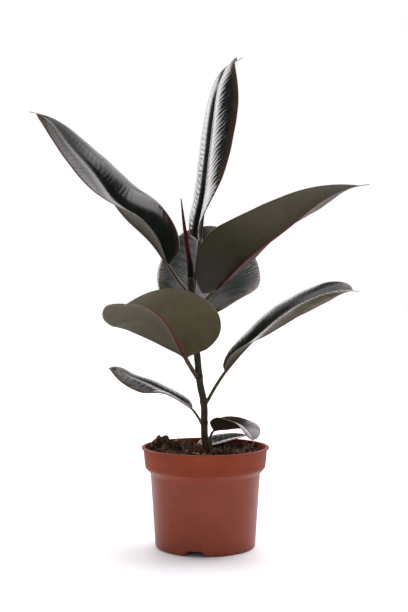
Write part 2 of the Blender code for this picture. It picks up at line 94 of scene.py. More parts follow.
def blend_colours(tree, share, first, second):
    return add_node(tree, "ShaderNodeMix", {0: share, 6: first, 7: second}, data_type="RGBA").outputs[2]


def layered(tree, base, *layers):
    """A base colour with others laid over it. Each layer is a share and a colour."""
    for share, over in layers:
        base = blend_colours(tree, share, base, over)
    return base


def ramp(tree, value, low, high, start=0.0, end=1.0):
    """start below low, end above high, and smooth between them."""
    inputs = {"Value": value, "From Min": low, "From Max": high, "To Min": start, "To Max": end}
    return add_node(tree, "ShaderNodeMapRange", inputs, interpolation_type="SMOOTHSTEP").outputs["Result"]


def noise(tree, place, scale, detail=4.0, roughness=0.5):
    inputs = {"Vector": place, "Scale": scale, "Detail": detail, "Roughness": roughness}
    return add_node(tree, "ShaderNodeTexNoise", inputs).outputs["Fac"]


def new_material(name):
    made = bpy.data.materials.new(name)
    made.use_nodes = True
    shader = made.node_tree.nodes["Principled BSDF"]
    return made, made.node_tree, shader


def object_place(tree):
    return add_node(tree, "ShaderNodeTexCoord").outputs["Object"]


def paint(tree, shader, base, roughness, gloss, relief, strength, depth):
    """Fill in a shader: its colour, roughness, gloss, and a bump whose relief has a depth."""
    bump = add_node(tree, "ShaderNodeBump", {"Height": relief, "Strength": strength, "Distance": depth})
    feed(tree, shader.inputs["Base Color"], base)
    feed(tree, shader.inputs["Roughness"], roughness)
    feed(tree, shader.inputs["Specular IOR Level"], gloss)
    feed(tree, shader.inputs["Normal"], bump.outputs[0])


# %% [markdown]
# ## Helpers for meshes
#
# Stems, stalks, leaves and the sheath all grow along a line, so all are lofts: rings of
# points set along the line and joined by faces. One function joins any rings that have as
# many points, closes both ends and keeps values at the points, which materials read later.


# %% Mesh helpers
def smooth_run(values, share):
    """The value at each share from 0 to 1 of a smooth run through evenly spaced values."""
    given = np.asarray(values, float)
    last = len(given) - 1
    place = np.clip(np.asarray(share, float), 0, 1) * last
    index = np.minimum(place.astype(int), last - 1)
    part = place - index
    if given.ndim > 1:
        part = part[..., None]
    start, end = given[index], given[index + 1]
    slope_in = (end - given[np.maximum(index - 1, 0)]) / 2
    slope_out = (given[np.minimum(index + 2, last)] - start) / 2
    return (
        (2 * part**3 - 3 * part**2 + 1) * start
        + (part**3 - 2 * part**2 + part) * slope_in
        + (3 * part**2 - 2 * part**3) * end
        + (part**3 - part**2) * slope_out
    )


def smooth_step(value):
    limited = np.clip(value, 0, 1)
    return limited * limited * (3 - 2 * limited)


def add_object(name, data):
    made = bpy.data.objects.new(name, data)
    bpy.context.scene.collection.objects.link(made)
    return made


def mesh_object(name, builder):
    """An object from a bmesh, which is freed."""
    mesh = bpy.data.meshes.new(name)
    builder.to_mesh(mesh)
    builder.free()
    return add_object(name, mesh)


def finished_mesh(holder):
    """The plain mesh that an object's modifiers make of it."""
    bpy.context.view_layer.update()
    return bpy.data.meshes.new_from_object(holder.evaluated_get(bpy.context.evaluated_depsgraph_get()))


def loft(name, rings, values=None):
    """A closed mesh from rings, an array [ring, point, xyz] in millimetres."""
    ring_count, size, _ = rings.shape
    first = np.arange((ring_count - 1) * size)
    after = first + 1 - size * ((first % size) == size - 1)
    faces = np.stack([first, after, after + size, first + size], axis=1).tolist()
    faces.append(list(range(size))[::-1])
    faces.append(list(range((ring_count - 1) * size, ring_count * size)))
    mesh = bpy.data.meshes.new(name)
    mesh.from_pydata((rings.reshape(-1, 3) * MM).tolist(), [], faces)
    for value_name, numbers in (values or {}).items():
        kept = mesh.attributes.new(value_name, "FLOAT", "POINT")
        kept.data.foreach_set("value", np.ascontiguousarray(numbers, np.float32).ravel())
    builder = bmesh.new()
    builder.from_mesh(mesh)
    bmesh.ops.recalc_face_normals(builder, faces=builder.faces)
    builder.to_mesh(mesh)
    builder.free()
    mesh.shade_smooth()
    return add_object(name, mesh)


def place_piece(piece, slot, *nodes):
    """The piece rides with the plant and stands for CAD nodes, which are hidden. The slot is not used."""
    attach(piece, BODY)
    if nodes:
        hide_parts(*nodes)
    piece.data.calc_loop_triangles()
    print(f"{piece.name}: {len(piece.data.loop_triangles)} triangles")


# %% [markdown]
# ## Camera, floor and light
#
# The camera stands just over a metre away, a little above the middle of the plant, and
# looks down by less than two degrees, so the rim of the pot is a flat ellipse and the upper
# leaves show their undersides. The plant stands on a white sweep: the floor and the space
# behind are as bright as the film takes, and only a soft shadow shows where the pot stands.

# %% Camera
CAMERA_PLACE = (-0.0012, -1.115, 0.257)
CAMERA_TILT = 1.6
LENS = 70.0
camera_data = bpy.data.cameras.new("camera")
camera_data.lens = LENS
camera = add_object("camera", camera_data)
camera.location = CAMERA_PLACE
camera.rotation_euler = (math.radians(90 - CAMERA_TILT), 0, 0)
bpy.context.scene.camera = camera
bpy.context.scene.view_settings.view_transform = "Standard"
print("camera", CAMERA_PLACE, "lens", LENS)

# %% Floor
FLOOR_SIZE = 12.0
FLOOR_WHITE = (0.862, 0.86, 0.886, 1)
floor_mesh = bpy.data.meshes.new("floor")
half_floor = FLOOR_SIZE / 2
corners = [(x * half_floor, y * half_floor, 0) for x, y in ((-1, -1), (1, -1), (1, 1), (-1, 1))]
floor_mesh.from_pydata(corners, [], [(0, 1, 2, 3)])
floor = add_object("floor", floor_mesh)
floor_material, tree, shader = new_material("white_sweep")
shader.inputs["Base Color"].default_value = FLOOR_WHITE
shader.inputs["Roughness"].default_value = 0.6
shader.inputs["Specular IOR Level"].default_value = 0.2
floor_mesh.materials.append(floor_material)
print("floor", FLOOR_SIZE, "m")

# %% [markdown]
# Leaves this glossy show their surroundings more than their own colour. The surroundings are
# the world, and they are those of a dim studio: a bright soft box at the back left, the lit
# sweep behind the plant, a dimmer wall to its right, and a large soft box overhead on the
# right. Each is a soft-edged rectangle of brightness. Those near the horizon are measured in
# degrees, how far a direction is turned from straight ahead and how far it is raised, and
# those overhead on a level ceiling. The camera itself sees plain white all round, kept apart
# from the light by a Light Path node.


# %% World
LEFT_BOX = 5.4
SWEEP = 2.2
LOWER_SWEEP = 1.0
SIDE_WALL = 1.8
UPPER_WALL = 0.6
TOP_BOX = 3.6
ZENITH = 1.9
ROOM = 0.1
world = bpy.data.worlds.new("studio")
bpy.context.scene.world = world
world.use_nodes = True
sky = world.node_tree
sky.nodes.clear()
looking = add_node(sky, "ShaderNodeTexCoord").outputs["Generated"]
direction = add_node(sky, "ShaderNodeSeparateXYZ", {0: looking})
x, y, z = (direction.outputs[axis] for axis in "XYZ")
degrees_turned = calculate(sky, "MULTIPLY", calculate(sky, "ARCTAN2", x, y), math.degrees(1))
degrees_raised = calculate(sky, "MULTIPLY", calculate(sky, "ARCSINE", z), math.degrees(1))
above = calculate(sky, "MAXIMUM", z, 0.05)
ceiling_x = calculate(sky, "DIVIDE", x, above)
ceiling_y = calculate(sky, "DIVIDE", y, above)


def window(first, second, box, soft, strength):
    """A rectangle of light: low and high of both coordinates, softness of the edge, strength."""
    share = strength
    for value, (low, high) in ((first, box[:2]), (second, box[2:])):
        share = calculate(sky, "MULTIPLY", ramp(sky, value, low - soft, low + soft), share)
        share = calculate(sky, "MULTIPLY", ramp(sky, value, high - soft, high + soft, 1, 0), share)
    return share


def brightest(lights):
    """The brightest of some lights in each direction."""
    most = lights[0]
    for light in lights[1:]:
        most = calculate(sky, "MAXIMUM", most, light)
    return most


standing = (
    ((-60, -32, 12, 38), 2.5, LEFT_BOX),
    ((-34, 8, 5, 31), 4, SWEEP),
    ((-34, 20, -90, 7), 5, LOWER_SWEEP),
    ((6, 72, 4, 47), 6, SIDE_WALL),
    ((-34, -14, 28, 62), 5, UPPER_WALL),
)
hanging = (
    ((0.2, 0.74, -0.32, 0.7), 0.06, TOP_BOX),
    ((-0.22, 0.2, -0.1, 0.5), 0.1, ZENITH),
)
around_plant = brightest([window(degrees_turned, degrees_raised, *given) for given in standing])
overhead = brightest([window(ceiling_x, ceiling_y, *given) for given in hanging])
overhead = calculate(sky, "MULTIPLY", ramp(sky, z, 0.3, 0.4), overhead)
strength = calculate(sky, "ADD", brightest([around_plant, overhead]), ROOM)
light = add_node(sky, "ShaderNodeBackground", {"Color": (1, 0.96, 0.99, 1), "Strength": strength})
seen = add_node(sky, "ShaderNodeBackground", {"Color": (1, 1, 1, 1), "Strength": 1.0})
is_camera = add_node(sky, "ShaderNodeLightPath").outputs["Is Camera Ray"]
chosen = add_node(sky, "ShaderNodeMixShader", {0: is_camera, 1: light.outputs[0], 2: seen.outputs[0]})
add_node(sky, "ShaderNodeOutputWorld", {"Surface": chosen.outputs[0]})
print("world:", len(standing), "windows round the plant,", len(hanging), "overhead")


# %% [markdown]
# The floor and the dull surfaces need light from above and from the front too. It comes from
# two suns with very wide discs, which light the whole floor alike and cast only a soft shadow.
# They are kept out of reflections, so that the leaves go on mirroring the sweep alone.


# %% Fill light
def wide_sun(name, towards, strength, angle):
    """A sun with a disc some degrees wide, which no surface mirrors."""
    data = bpy.data.lights.new(name, "SUN")
    data.energy = strength
    data.angle = math.radians(angle)
    made = add_object(name, data)
    made.rotation_euler = Vector(towards).to_track_quat("-Z", "Y").to_euler()
    made.visible_glossy = False


wide_sun("fill_top", (0.04, -0.5, -1), 3.0, 95)
wide_sun("fill_front", (0.05, 1, -0.15), 0.8, 70)
print("fill light from above and from the front")

# %% [markdown]
# ## The pot
#
# A nursery pot is injection-moulded from thin plastic: a tapered body, a wider band with a
# small shoulder at the top, and a lip to carry it by. A fine groove runs round the band just
# above its lower edge. The pot is round, so its wall is one profile turned about the axis,
# with many more sides than the CAD solid has. The notches that let water out under the foot
# are cut afterwards with Booleans, as they are in the CAD.

# %% Pot sizes, millimetres
POT_HEIGHT = 94.0
LIP_RADIUS = 60.0
LIP_THICKNESS = 1.7
BAND_TOP_RADIUS = 58.2
BAND_BOTTOM_RADIUS = 56.6
BAND_BOTTOM = 75.2
SHOULDER_BOTTOM = 69.2
BODY_TOP_RADIUS = 51.5
BODY_BOTTOM_RADIUS = 46.9
BAND_LINE = 78.3
BAND_LINE_DEPTH = 0.3
BAND_LINE_HALF_WIDTH = 0.4
FOOT_CORNER = 2.2
WALL = 1.4
FOOT_WIDTH = 1.6
FLOOR_UNDERSIDE = 5.6
FLOOR_TOP = 7.0
PAD_RADIUS = 14.0
PAD_TOP = 1.5
PAD_SLOPE = 2.6
POT_SIDES = 160
NOTCH_WIDTH = 17.0
NOTCH_HEIGHT = 5.0
FRONT_NOTCH_ANGLE = -102.0
NOTCHES = 3
DRAIN_HOLES = 6
DRAIN_HOLE_RADIUS = 3.5
DRAIN_CIRCLE = 31.0
DRAIN_TURN = 4.0


def body_radius(height):
    """Outer radius of the pot's tapered body at a height."""
    return BODY_BOTTOM_RADIUS + (BODY_TOP_RADIUS - BODY_BOTTOM_RADIUS) * height / SHOULDER_BOTTOM


def band_radius(height):
    """Outer radius of the wider band at a height."""
    share = (height - BAND_BOTTOM) / (POT_HEIGHT - LIP_THICKNESS - BAND_BOTTOM)
    return BAND_BOTTOM_RADIUS + (BAND_TOP_RADIUS - BAND_BOTTOM_RADIUS) * share


def rounded(before, corner, after, radius, steps=4):
    """Points that round a corner of a profile."""
    before, corner, after = Vector(before), Vector(corner), Vector(after)
    start = corner + (before - corner).normalized() * radius
    end = corner + (after - corner).normalized() * radius
    points = []
    for step in range(steps + 1):
        share = step / steps
        points.append(tuple(start.lerp(corner, share).lerp(corner.lerp(end, share), share)))
    return points


# %% Pot profile
foot_inside = body_radius(0) - FOOT_CORNER - FOOT_WIDTH
lip_under = POT_HEIGHT - LIP_THICKNESS
# Each corner of the profile is its radius, its height and how far it is rounded.
outline = [
    (0, 0, 0),
    (PAD_RADIUS, 0, 0.4),
    (PAD_RADIUS + PAD_SLOPE, FLOOR_UNDERSIDE, 0.8),
    (foot_inside - 0.5, FLOOR_UNDERSIDE, 0.8),
    (foot_inside, 0, 0.4),
    (body_radius(0), 0, 2.6),
    (body_radius(SHOULDER_BOTTOM), SHOULDER_BOTTOM, 1.2),
    (BAND_BOTTOM_RADIUS - 0.35, BAND_BOTTOM - 0.5, 0.3),
    (band_radius(BAND_LINE) - 0.05, BAND_LINE - BAND_LINE_HALF_WIDTH, 0.1),
    (band_radius(BAND_LINE) - BAND_LINE_DEPTH, BAND_LINE, 0.1),
    (band_radius(BAND_LINE) + 0.05, BAND_LINE + BAND_LINE_HALF_WIDTH, 0.1),
    (BAND_TOP_RADIUS, lip_under, 0.5),
    (LIP_RADIUS, lip_under, 0.5),
    (LIP_RADIUS, POT_HEIGHT, 0.7),
    (BAND_TOP_RADIUS - WALL, POT_HEIGHT, 0.5),
    (BAND_BOTTOM_RADIUS - WALL, BAND_BOTTOM + 1.2, 0.6),
    (BODY_TOP_RADIUS - WALL, SHOULDER_BOTTOM + 1, 0.6),
    (body_radius(FLOOR_TOP) - WALL, FLOOR_TOP, 0.6),
    (PAD_RADIUS + PAD_SLOPE, FLOOR_TOP, 0.4),
    (PAD_RADIUS - WALL, PAD_TOP, 0.4),
    (0, PAD_TOP, 0),
]
profile = []
corners_before = outline[:1] + outline
corners_after = outline[1:] + outline[-1:]
for before, (radius, height, rounding), after in zip(corners_before, outline, corners_after):
    if rounding:
        profile += rounded(before[:2], (radius, height), after[:2], rounding)
    else:
        profile.append((radius, height))
print("pot profile:", len(profile), "points")


# %% Turn the pot and cut its notches and drain holes
def turned(name, points, sides):
    """A closed solid turned about Z. The first and the last point lie on the axis."""
    builder = bmesh.new()
    rings = []
    for radius, height in points:
        angles = [2 * math.pi * side / sides for side in range(sides if radius else 1)]
        places = [Vector((radius * math.cos(a), radius * math.sin(a), height)) * MM for a in angles]
        rings.append([builder.verts.new(place) for place in places])
    for lower, upper in zip(rings, rings[1:]):
        for side in range(sides):
            after = (side + 1) % sides
            low = [lower[side % len(lower)], lower[after % len(lower)]]
            high = [upper[after % len(upper)], upper[side % len(upper)]]
            builder.faces.new(list(dict.fromkeys(low + high)))
    bmesh.ops.recalc_face_normals(builder, faces=builder.faces)
    return mesh_object(name, builder)


def cutter(name, size, place, angle, round_hole=False):
    """A block, or a round bar, that a Boolean cuts away."""
    builder = bmesh.new()
    if round_hole:
        bmesh.ops.create_cone(
            builder, cap_ends=True, segments=32, radius1=size[0], radius2=size[0], depth=size[2]
        )
    else:
        bmesh.ops.create_cube(builder, size=1)
        bmesh.ops.scale(builder, vec=size, verts=builder.verts)
        along_x = [edge for edge in builder.edges if abs(edge.verts[0].co.x - edge.verts[1].co.x) > 1]
        bmesh.ops.bevel(builder, geom=along_x, offset=1.2, segments=4, affect="EDGES")
    bmesh.ops.scale(builder, vec=(MM, MM, MM), verts=builder.verts)
    made = mesh_object(name, builder)
    made.location = Vector(place) * MM
    made.rotation_euler.z = angle
    return made


def around(radius, angle, height=0.0):
    return (radius * math.cos(angle), radius * math.sin(angle), height)


pot = turned("pot_wall", profile, POT_SIDES)
cutters = []
for number in range(NOTCHES):
    angle = math.radians(FRONT_NOTCH_ANGLE + 360 / NOTCHES * number)
    size = (12, NOTCH_WIDTH, 2 * NOTCH_HEIGHT)
    cutters.append(cutter(f"notch_{number}", size, around(foot_inside + FOOT_WIDTH, angle), angle))
for number in range(DRAIN_HOLES):
    angle = math.radians(360 / DRAIN_HOLES * (number + 0.5) + DRAIN_TURN)
    place = around(DRAIN_CIRCLE, angle, (FLOOR_UNDERSIDE + FLOOR_TOP) / 2)
    cutters.append(cutter(f"drain_{number}", (DRAIN_HOLE_RADIUS, 0, 8), place, angle, True))
for made in cutters:
    step = pot.modifiers.new(made.name, "BOOLEAN")
    step.operation, step.object, step.solver = "DIFFERENCE", made, "EXACT"
cut = finished_mesh(pot)
pot.modifiers.clear()
pot.data = cut
for made in cutters:
    bpy.data.objects.remove(made, do_unlink=True)
cut.shade_smooth()
cut.set_sharp_from_angle(angle=math.radians(38))
print("pot faces:", len(cut.polygons))

# %% [markdown]
# The plastic is dyed right through, with a satin skin. Under a lens it is never one flat
# colour: the pigment is a little uneven and handling leaves faint dull smears. Noise at three
# scales gives that, and a very fine bump breaks up the reflections. A painted shade darkens
# the corner under the band.

# %% Terracotta plastic
plastic, tree, shader = new_material("terracotta_plastic_skin")
place = object_place(tree)
height = add_node(tree, "ShaderNodeSeparateXYZ", {0: place}).outputs["Z"]
squeezed = add_node(tree, "ShaderNodeMapping", {"Vector": place, "Scale": (1, 1, 6)}).outputs[0]
cloudy = noise(tree, place, 35.0)
speckled = noise(tree, place, 900.0, 2.0)
smeared = noise(tree, squeezed, 60.0, 6.0)
# Painted shade: the colour darkens in the corner under the band, where shade falls.
corner = calculate(tree, "ABSOLUTE", calculate(tree, "SUBTRACT", height, (BAND_BOTTOM - 0.5) * MM))
base = layered(
    tree,
    colour(129, 58, 38),
    (ramp(tree, cloudy, 0.3, 0.7), colour(136, 63, 42)),
    (ramp(tree, speckled, 0.62, 0.8, 0, 0.25), colour(146, 78, 58)),
    (ramp(tree, corner, 0.3 * MM, 0.9 * MM, 0.55, 0), colour(84, 34, 24)),
)
band_from, band_to = (BAND_BOTTOM - 1) * MM, (BAND_BOTTOM + 1) * MM
duller_band = ramp(tree, height, band_from, band_to, 0, 0.14)
roughness = calculate(tree, "ADD", ramp(tree, smeared, 0.3, 0.75, 0.38, 0.46), duller_band)
gloss = ramp(tree, height, band_from, band_to, 0.22, 0.08)
paint(tree, shader, base, roughness, gloss, speckled, 0.12, 0.0002)
pot.data.materials.clear()
pot.data.materials.append(plastic)
place_piece(pot, "terracotta_plastic", "pot")

# %% [markdown]
# ## The soil
#
# The pot is filled with bark and peat almost to the rim, with a heap at the back left where
# it was poured. Two things make earth look like earth: a rough dark ground, and loose pieces
# of many sizes lying on it. The ground is a fine disc of rings raised by noise. The loose
# pieces are scattered by Geometry Nodes, which is how one would strew anything on a surface.

# %% Ground
SOIL_LEVEL = 87.0
SOIL_EDGE_LEVEL = 88.4
SOIL_REACH = 55.9
HEAP_CENTRE = (-39.0, 25.0)
HEAP_HEIGHT = 10.0
HEAP_SPREAD = 13.0
DISH_RADIUS = 51.0
LUMPS = 420
GROUND_RINGS = 60
GROUND_SIDES = 160


def soil_height(x, y):
    """A shallow dish with the heap on it."""
    rise = (SOIL_EDGE_LEVEL - SOIL_LEVEL) * (np.hypot(x, y) / DISH_RADIUS) ** 2
    away = np.hypot(x - HEAP_CENTRE[0], y - HEAP_CENTRE[1])
    return SOIL_LEVEL + rise + HEAP_HEIGHT * np.exp(-((away / HEAP_SPREAD) ** 2))


chance = np.random.default_rng(11)
lump_places = chance.uniform(-SOIL_REACH, SOIL_REACH, (LUMPS, 2))
lump_sizes = chance.uniform(1.2, 4.2, LUMPS)
lump_heights = chance.uniform(0.3, 1.0, LUMPS) * lump_sizes * 0.42
turns = np.linspace(0, 2 * math.pi, GROUND_SIDES, endpoint=False)
radii = SOIL_REACH * np.sqrt(np.linspace(1, 0.0004, GROUND_RINGS))
grid_x = radii[:, None] * np.cos(turns)
grid_y = radii[:, None] * np.sin(turns)
grid_z = soil_height(grid_x, grid_y)
for (x, y), size, rise in zip(lump_places, lump_sizes, lump_heights):
    grid_z += rise * np.exp(-(((grid_x - x) ** 2 + (grid_y - y) ** 2) / size**2))
grid_z += chance.normal(0, 0.22, grid_z.shape)
edge_fade = smooth_step((SOIL_REACH - radii) / 3)[:, None]
grid_z = np.minimum(grid_z, POT_HEIGHT - 1.2 + 6 * edge_fade)
side_profile = [
    (PAD_RADIUS - WALL - 0.3, PAD_TOP + 0.3),
    (PAD_RADIUS + PAD_SLOPE - 0.3, FLOOR_TOP + 0.3),
    (body_radius(FLOOR_TOP) - WALL - 0.3, FLOOR_TOP + 0.3),
    (BODY_TOP_RADIUS - WALL - 0.3, SHOULDER_BOTTOM + 1.3),
    (BAND_BOTTOM_RADIUS - WALL - 0.3, BAND_BOTTOM + 1.5),
]
side_rings = [
    np.stack([radius * np.cos(turns), radius * np.sin(turns), np.full(GROUND_SIDES, height)], axis=1)
    for radius, height in side_profile
]
ground_rings = np.concatenate([np.stack(side_rings), np.stack([grid_x, grid_y, grid_z], axis=2)])
ground = loft("ground", ground_rings)
print("ground points:", len(ground.data.vertices))

# %% Earth material
earth, tree, shader = new_material("dark_earth")
place = object_place(tree)
coarse = noise(tree, place, 260.0, 8.0, 0.7)
patches = noise(tree, place, 90.0, 3.0)
base = layered(
    tree,
    colour(18, 11, 9),
    (ramp(tree, coarse, 0.35, 0.72), colour(66, 45, 34)),
    (ramp(tree, patches, 0.55, 0.75, 0, 0.6), colour(84, 52, 36)),
)
paint(tree, shader, base, 0.95, 0.2, coarse, 0.9, 0.001)
ground.data.materials.append(earth)
place_piece(ground, "potting_soil", "soil")


# %% [markdown]
# The scatter tree has named inputs, so that one tree strews peat crumbs, bark chips and pale
# grains. Points are thrown on the ground, a rough pebble is put on each, turned and scaled at
# random, then the copies are made real geometry and get their material.


# %% Scatter tree
def scatter_tree():
    group = bpy.data.node_groups.new("strew_pieces", "GeometryNodeTree")
    sockets = (
        ("Geometry", "NodeSocketGeometry"),
        ("Piece", "NodeSocketObject"),
        ("Per Square Metre", "NodeSocketFloat"),
        ("Smallest", "NodeSocketFloat"),
        ("Largest", "NodeSocketFloat"),
        ("Seed", "NodeSocketInt"),
        ("Material", "NodeSocketMaterial"),
        ("Lowest", "NodeSocketFloat"),
        ("Keep Out", "NodeSocketFloat"),
        ("Reach", "NodeSocketFloat"),
    )
    for name, kind in sockets:
        group.interface.new_socket(name, in_out="INPUT", socket_type=kind)
    group.interface.new_socket("Geometry", in_out="OUTPUT", socket_type="NodeSocketGeometry")
    given = add_node(group, "NodeGroupInput").outputs
    position = add_node(group, "GeometryNodeInputPosition").outputs[0]
    parts = add_node(group, "ShaderNodeSeparateXYZ", {0: position}).outputs
    flat = add_node(group, "ShaderNodeCombineXYZ", {"X": parts["X"], "Y": parts["Y"]}).outputs[0]
    distance = add_node(group, "ShaderNodeVectorMath", {0: flat}, operation="LENGTH").outputs["Value"]
    high = calculate(group, "GREATER_THAN", parts["Z"], given["Lowest"])
    outside = calculate(group, "GREATER_THAN", distance, given["Keep Out"])
    inside = calculate(group, "LESS_THAN", distance, given["Reach"])
    allowed = calculate(group, "MULTIPLY", calculate(group, "MULTIPLY", high, outside), inside)
    thrown = add_node(
        group,
        "GeometryNodeDistributePointsOnFaces",
        {
            "Mesh": given["Geometry"],
            "Selection": allowed,
            "Density": given["Per Square Metre"],
            "Seed": given["Seed"],
        },
    )
    pebble = add_node(group, "GeometryNodeObjectInfo", {"Object": given["Piece"]})
    turn = add_node(group, "FunctionNodeRandomValue", {"Seed": given["Seed"]}, data_type="FLOAT_VECTOR")
    turn.inputs[1].default_value = (2 * math.pi,) * 3
    size = add_node(group, "FunctionNodeRandomValue", {"Seed": given["Seed"]}, data_type="FLOAT")
    group.links.new(given["Smallest"], size.inputs[2])
    group.links.new(given["Largest"], size.inputs[3])
    put = add_node(
        group,
        "GeometryNodeInstanceOnPoints",
        {
            "Points": thrown.outputs["Points"],
            "Instance": pebble.outputs["Geometry"],
            "Rotation": turn.outputs[0],
            "Scale": size.outputs[1],
        },
    )
    real = add_node(group, "GeometryNodeRealizeInstances", {"Geometry": put.outputs[0]})
    painted = add_node(
        group, "GeometryNodeSetMaterial", {"Geometry": real.outputs[0], "Material": given["Material"]}
    )
    add_node(group, "NodeGroupOutput", {"Geometry": painted.outputs[0]})
    return group


def rough_pebble(name, flatness, stretch, seed, subdivisions=2):
    """A unit pebble, as rough as broken bark."""
    builder = bmesh.new()
    bmesh.ops.create_icosphere(builder, subdivisions=subdivisions, radius=1)
    dice = np.random.default_rng(seed)
    for vert in builder.verts:
        grow = dice.uniform(0.75, 1.15)
        vert.co = (vert.co.x * stretch * grow, vert.co.y * grow, vert.co.z * flatness * grow)
    return mesh_object(name, builder)


strew = scatter_tree()
print("scatter tree inputs:", [item.name for item in strew.interface.items_tree if item.in_out == "INPUT"])


# %% Strew the loose pieces
CLEAR_OF_STEM = 6.0
STREW_REACH = 54.5


def chip_material(name, dark, light, roughness=0.85):
    made, tree, shader = new_material(name)
    place = object_place(tree)
    streaks = noise(tree, place, 420.0, 5.0, 0.6)
    spots = noise(tree, place, 150.0, 2.0)
    streaked = (ramp(tree, streaks, 0.35, 0.7), light)
    spotted = (ramp(tree, spots, 0.5, 0.7, 0, 0.5), dark)
    paint(tree, shader, layered(tree, dark, streaked, spotted), roughness, 0.5, streaks, 0.6, 0.0006)
    return made


def strewn(name, pebble, density, sizes, seed, material):
    """Loose pieces as one mesh, from the scatter tree on the ground."""
    holder = add_object(name, ground.data)
    step = holder.modifiers.new("strew", "NODES")
    step.node_group = strew
    wanted = {
        "Piece": pebble,
        "Per Square Metre": density,
        "Smallest": sizes[0] * MM,
        "Largest": sizes[1] * MM,
        "Seed": seed,
        "Material": material,
        "Lowest": (SOIL_LEVEL - 1) * MM,
        "Keep Out": CLEAR_OF_STEM * MM,
        "Reach": STREW_REACH * MM,
    }
    for item in strew.interface.items_tree:
        if item.in_out == "INPUT" and item.name in wanted:
            step[item.identifier] = wanted[item.name]
    mesh = finished_mesh(holder)
    holder.modifiers.clear()
    bpy.data.objects.remove(holder, do_unlink=True)
    bpy.data.objects.remove(pebble, do_unlink=True)
    place_piece(add_object(name, mesh), "potting_soil")


peat_brown = chip_material("peat", colour(20, 13, 10), colour(68, 46, 34))
bark_brown = chip_material("bark_chip", colour(34, 21, 15), colour(124, 82, 54))
straw_gold = chip_material("pale_wood", colour(120, 86, 46), colour(196, 160, 104), 0.7)
strewn("peat_crumbs", rough_pebble("crumb", 0.7, 1.1, 1, 1), 120000, (0.5, 1.7), 3, peat_brown)
strewn("bark_chips", rough_pebble("chip", 0.4, 1.6, 2), 9000, (1.4, 5.2), 5, bark_brown)
strewn("pale_grains", rough_pebble("grain", 0.5, 1.4, 4), 4600, (0.6, 2.6), 8, straw_gold)

# %% [markdown]
# ## The stem
#
# A young rubber plant's stem is a green-brown rod, as thick as a pencil. Each leaf that it
# has carried leaves a swollen ring where its stalk and its sheath sat, and the bark between
# the rings has fine lengthwise cracks and pale corky dots. A loft along the stem's line,
# with a bump of radius at each ring, gives the rod. The bark is painted in the material.

# %% Stem sizes, millimetres
STEM_ROUTE = (
    (1.8, 0.0, 62.0),
    (1.8, 0.0, 90.0),
    (-0.4, 0.0, 101.0),
    (-1.0, 0.0, 117.0),
    (-0.9, 0.0, 128.0),
    (-2.0, 0.0, 139.0),
    (-4.9, 0.0, 153.0),
    (-7.6, 0.0, 179.0),
    (-10.4, 0.0, 210.0),
    (-12.9, 0.0, 240.0),
    (-13.6, 0.0, 252.0),
)
COLLAR_RADIUS = 4.8
COLLAR_TOP = 90.0
STEM_RADIUS = 3.3
COLLAR_TAPER = 11.0
NODE_SWELLING = 0.35
NODE_SPREAD = 2.4
LEAF_NODES = (89.8, 116.5, 136.0, 160.0, 197.0, 221.5, 238.0, 245.0)
OLD_SCARS = (104.0, 126.5, 148.0, 171.0, 184.5, 209.5, 230.0)
STEM_SIDES = 48
SHOOT_ROUTE = ((3.0, -0.8, 84.0), (4.0, -2.0, 92.0), (4.3, -2.4, 98.5), (4.8, -2.9, 102.6))
SHOOT_RADIUS = 2.1


def stem_radius(height):
    """A straight collar in the soil, a taper, then an even stem with a swelling at each leaf."""
    swelling = max(math.exp(-(((height - node) / NODE_SPREAD) ** 2)) for node in LEAF_NODES)
    ease = float(smooth_step((height - COLLAR_TOP) / COLLAR_TAPER))
    base = COLLAR_RADIUS + (STEM_RADIUS - COLLAR_RADIUS) * ease
    return base + NODE_SWELLING * swelling * ease


def stem_centre(height):
    line = smooth_run(STEM_ROUTE, np.linspace(0, 1, 400))
    return np.array([float(np.interp(height, line[:, 2], line[:, axis])) for axis in range(3)])


def round_rings(centres, radii, sides):
    """Rings of points square to a line of centres. radii is one row per ring."""
    along = np.gradient(centres, axis=0)
    along /= np.linalg.norm(along, axis=1)[:, None]
    across = np.cross(along, (0, 1, 0))
    across /= np.linalg.norm(across, axis=1)[:, None]
    up = np.cross(across, along)
    turns = np.linspace(0, 2 * math.pi, sides, endpoint=False)
    offset = across[:, None] * np.cos(turns)[:, None] + up[:, None] * np.sin(turns)[:, None]
    return centres[:, None] + offset * radii[..., None]


# %% Stem and side shoot
def ring_marks(heights, places, width, height):
    """Narrow raised rims with a groove above each, as a fallen sheath leaves."""
    marks = np.zeros(len(heights))
    for place in places:
        rim = np.exp(-(((heights - place) / width) ** 2))
        groove = np.exp(-(((heights - place - 1.6 * width) / width) ** 2))
        marks += height * (rim - 0.7 * groove)
    return marks


chance = np.random.default_rng(21)
heights = np.linspace(STEM_ROUTE[0][2], STEM_ROUTE[-1][2], 420)
centres = np.stack([stem_centre(height) for height in heights])
radii = np.array([stem_radius(height) for height in heights])
radii += ring_marks(heights, LEAF_NODES, 0.6, 0.16) + ring_marks(heights, OLD_SCARS, 0.45, 0.1)
turns = np.linspace(0, 2 * math.pi, STEM_SIDES, endpoint=False)
flutes = sum(
    chance.uniform(0.02, 0.06) * np.sin(number * turns + chance.uniform(0, 6)) for number in (3, 5, 8, 13)
)
stem_skin = radii[:, None] + flutes + chance.normal(0, 0.015, (len(heights), STEM_SIDES))
stem = loft("stem_rod", round_rings(centres, stem_skin, STEM_SIDES))
shares = np.linspace(0, 1, 60)
shoot_line = smooth_run(SHOOT_ROUTE, shares)
shoot_radii = SHOOT_RADIUS - 0.5 * shares**3 + 0.12 * np.exp(-(((shares - 0.62) / 0.03) ** 2))
shoot_skin = np.repeat(shoot_radii[:, None], 32, axis=1)
shoot = loft("side_shoot", round_rings(shoot_line, shoot_skin, 32))
print("stem rings:", len(heights))

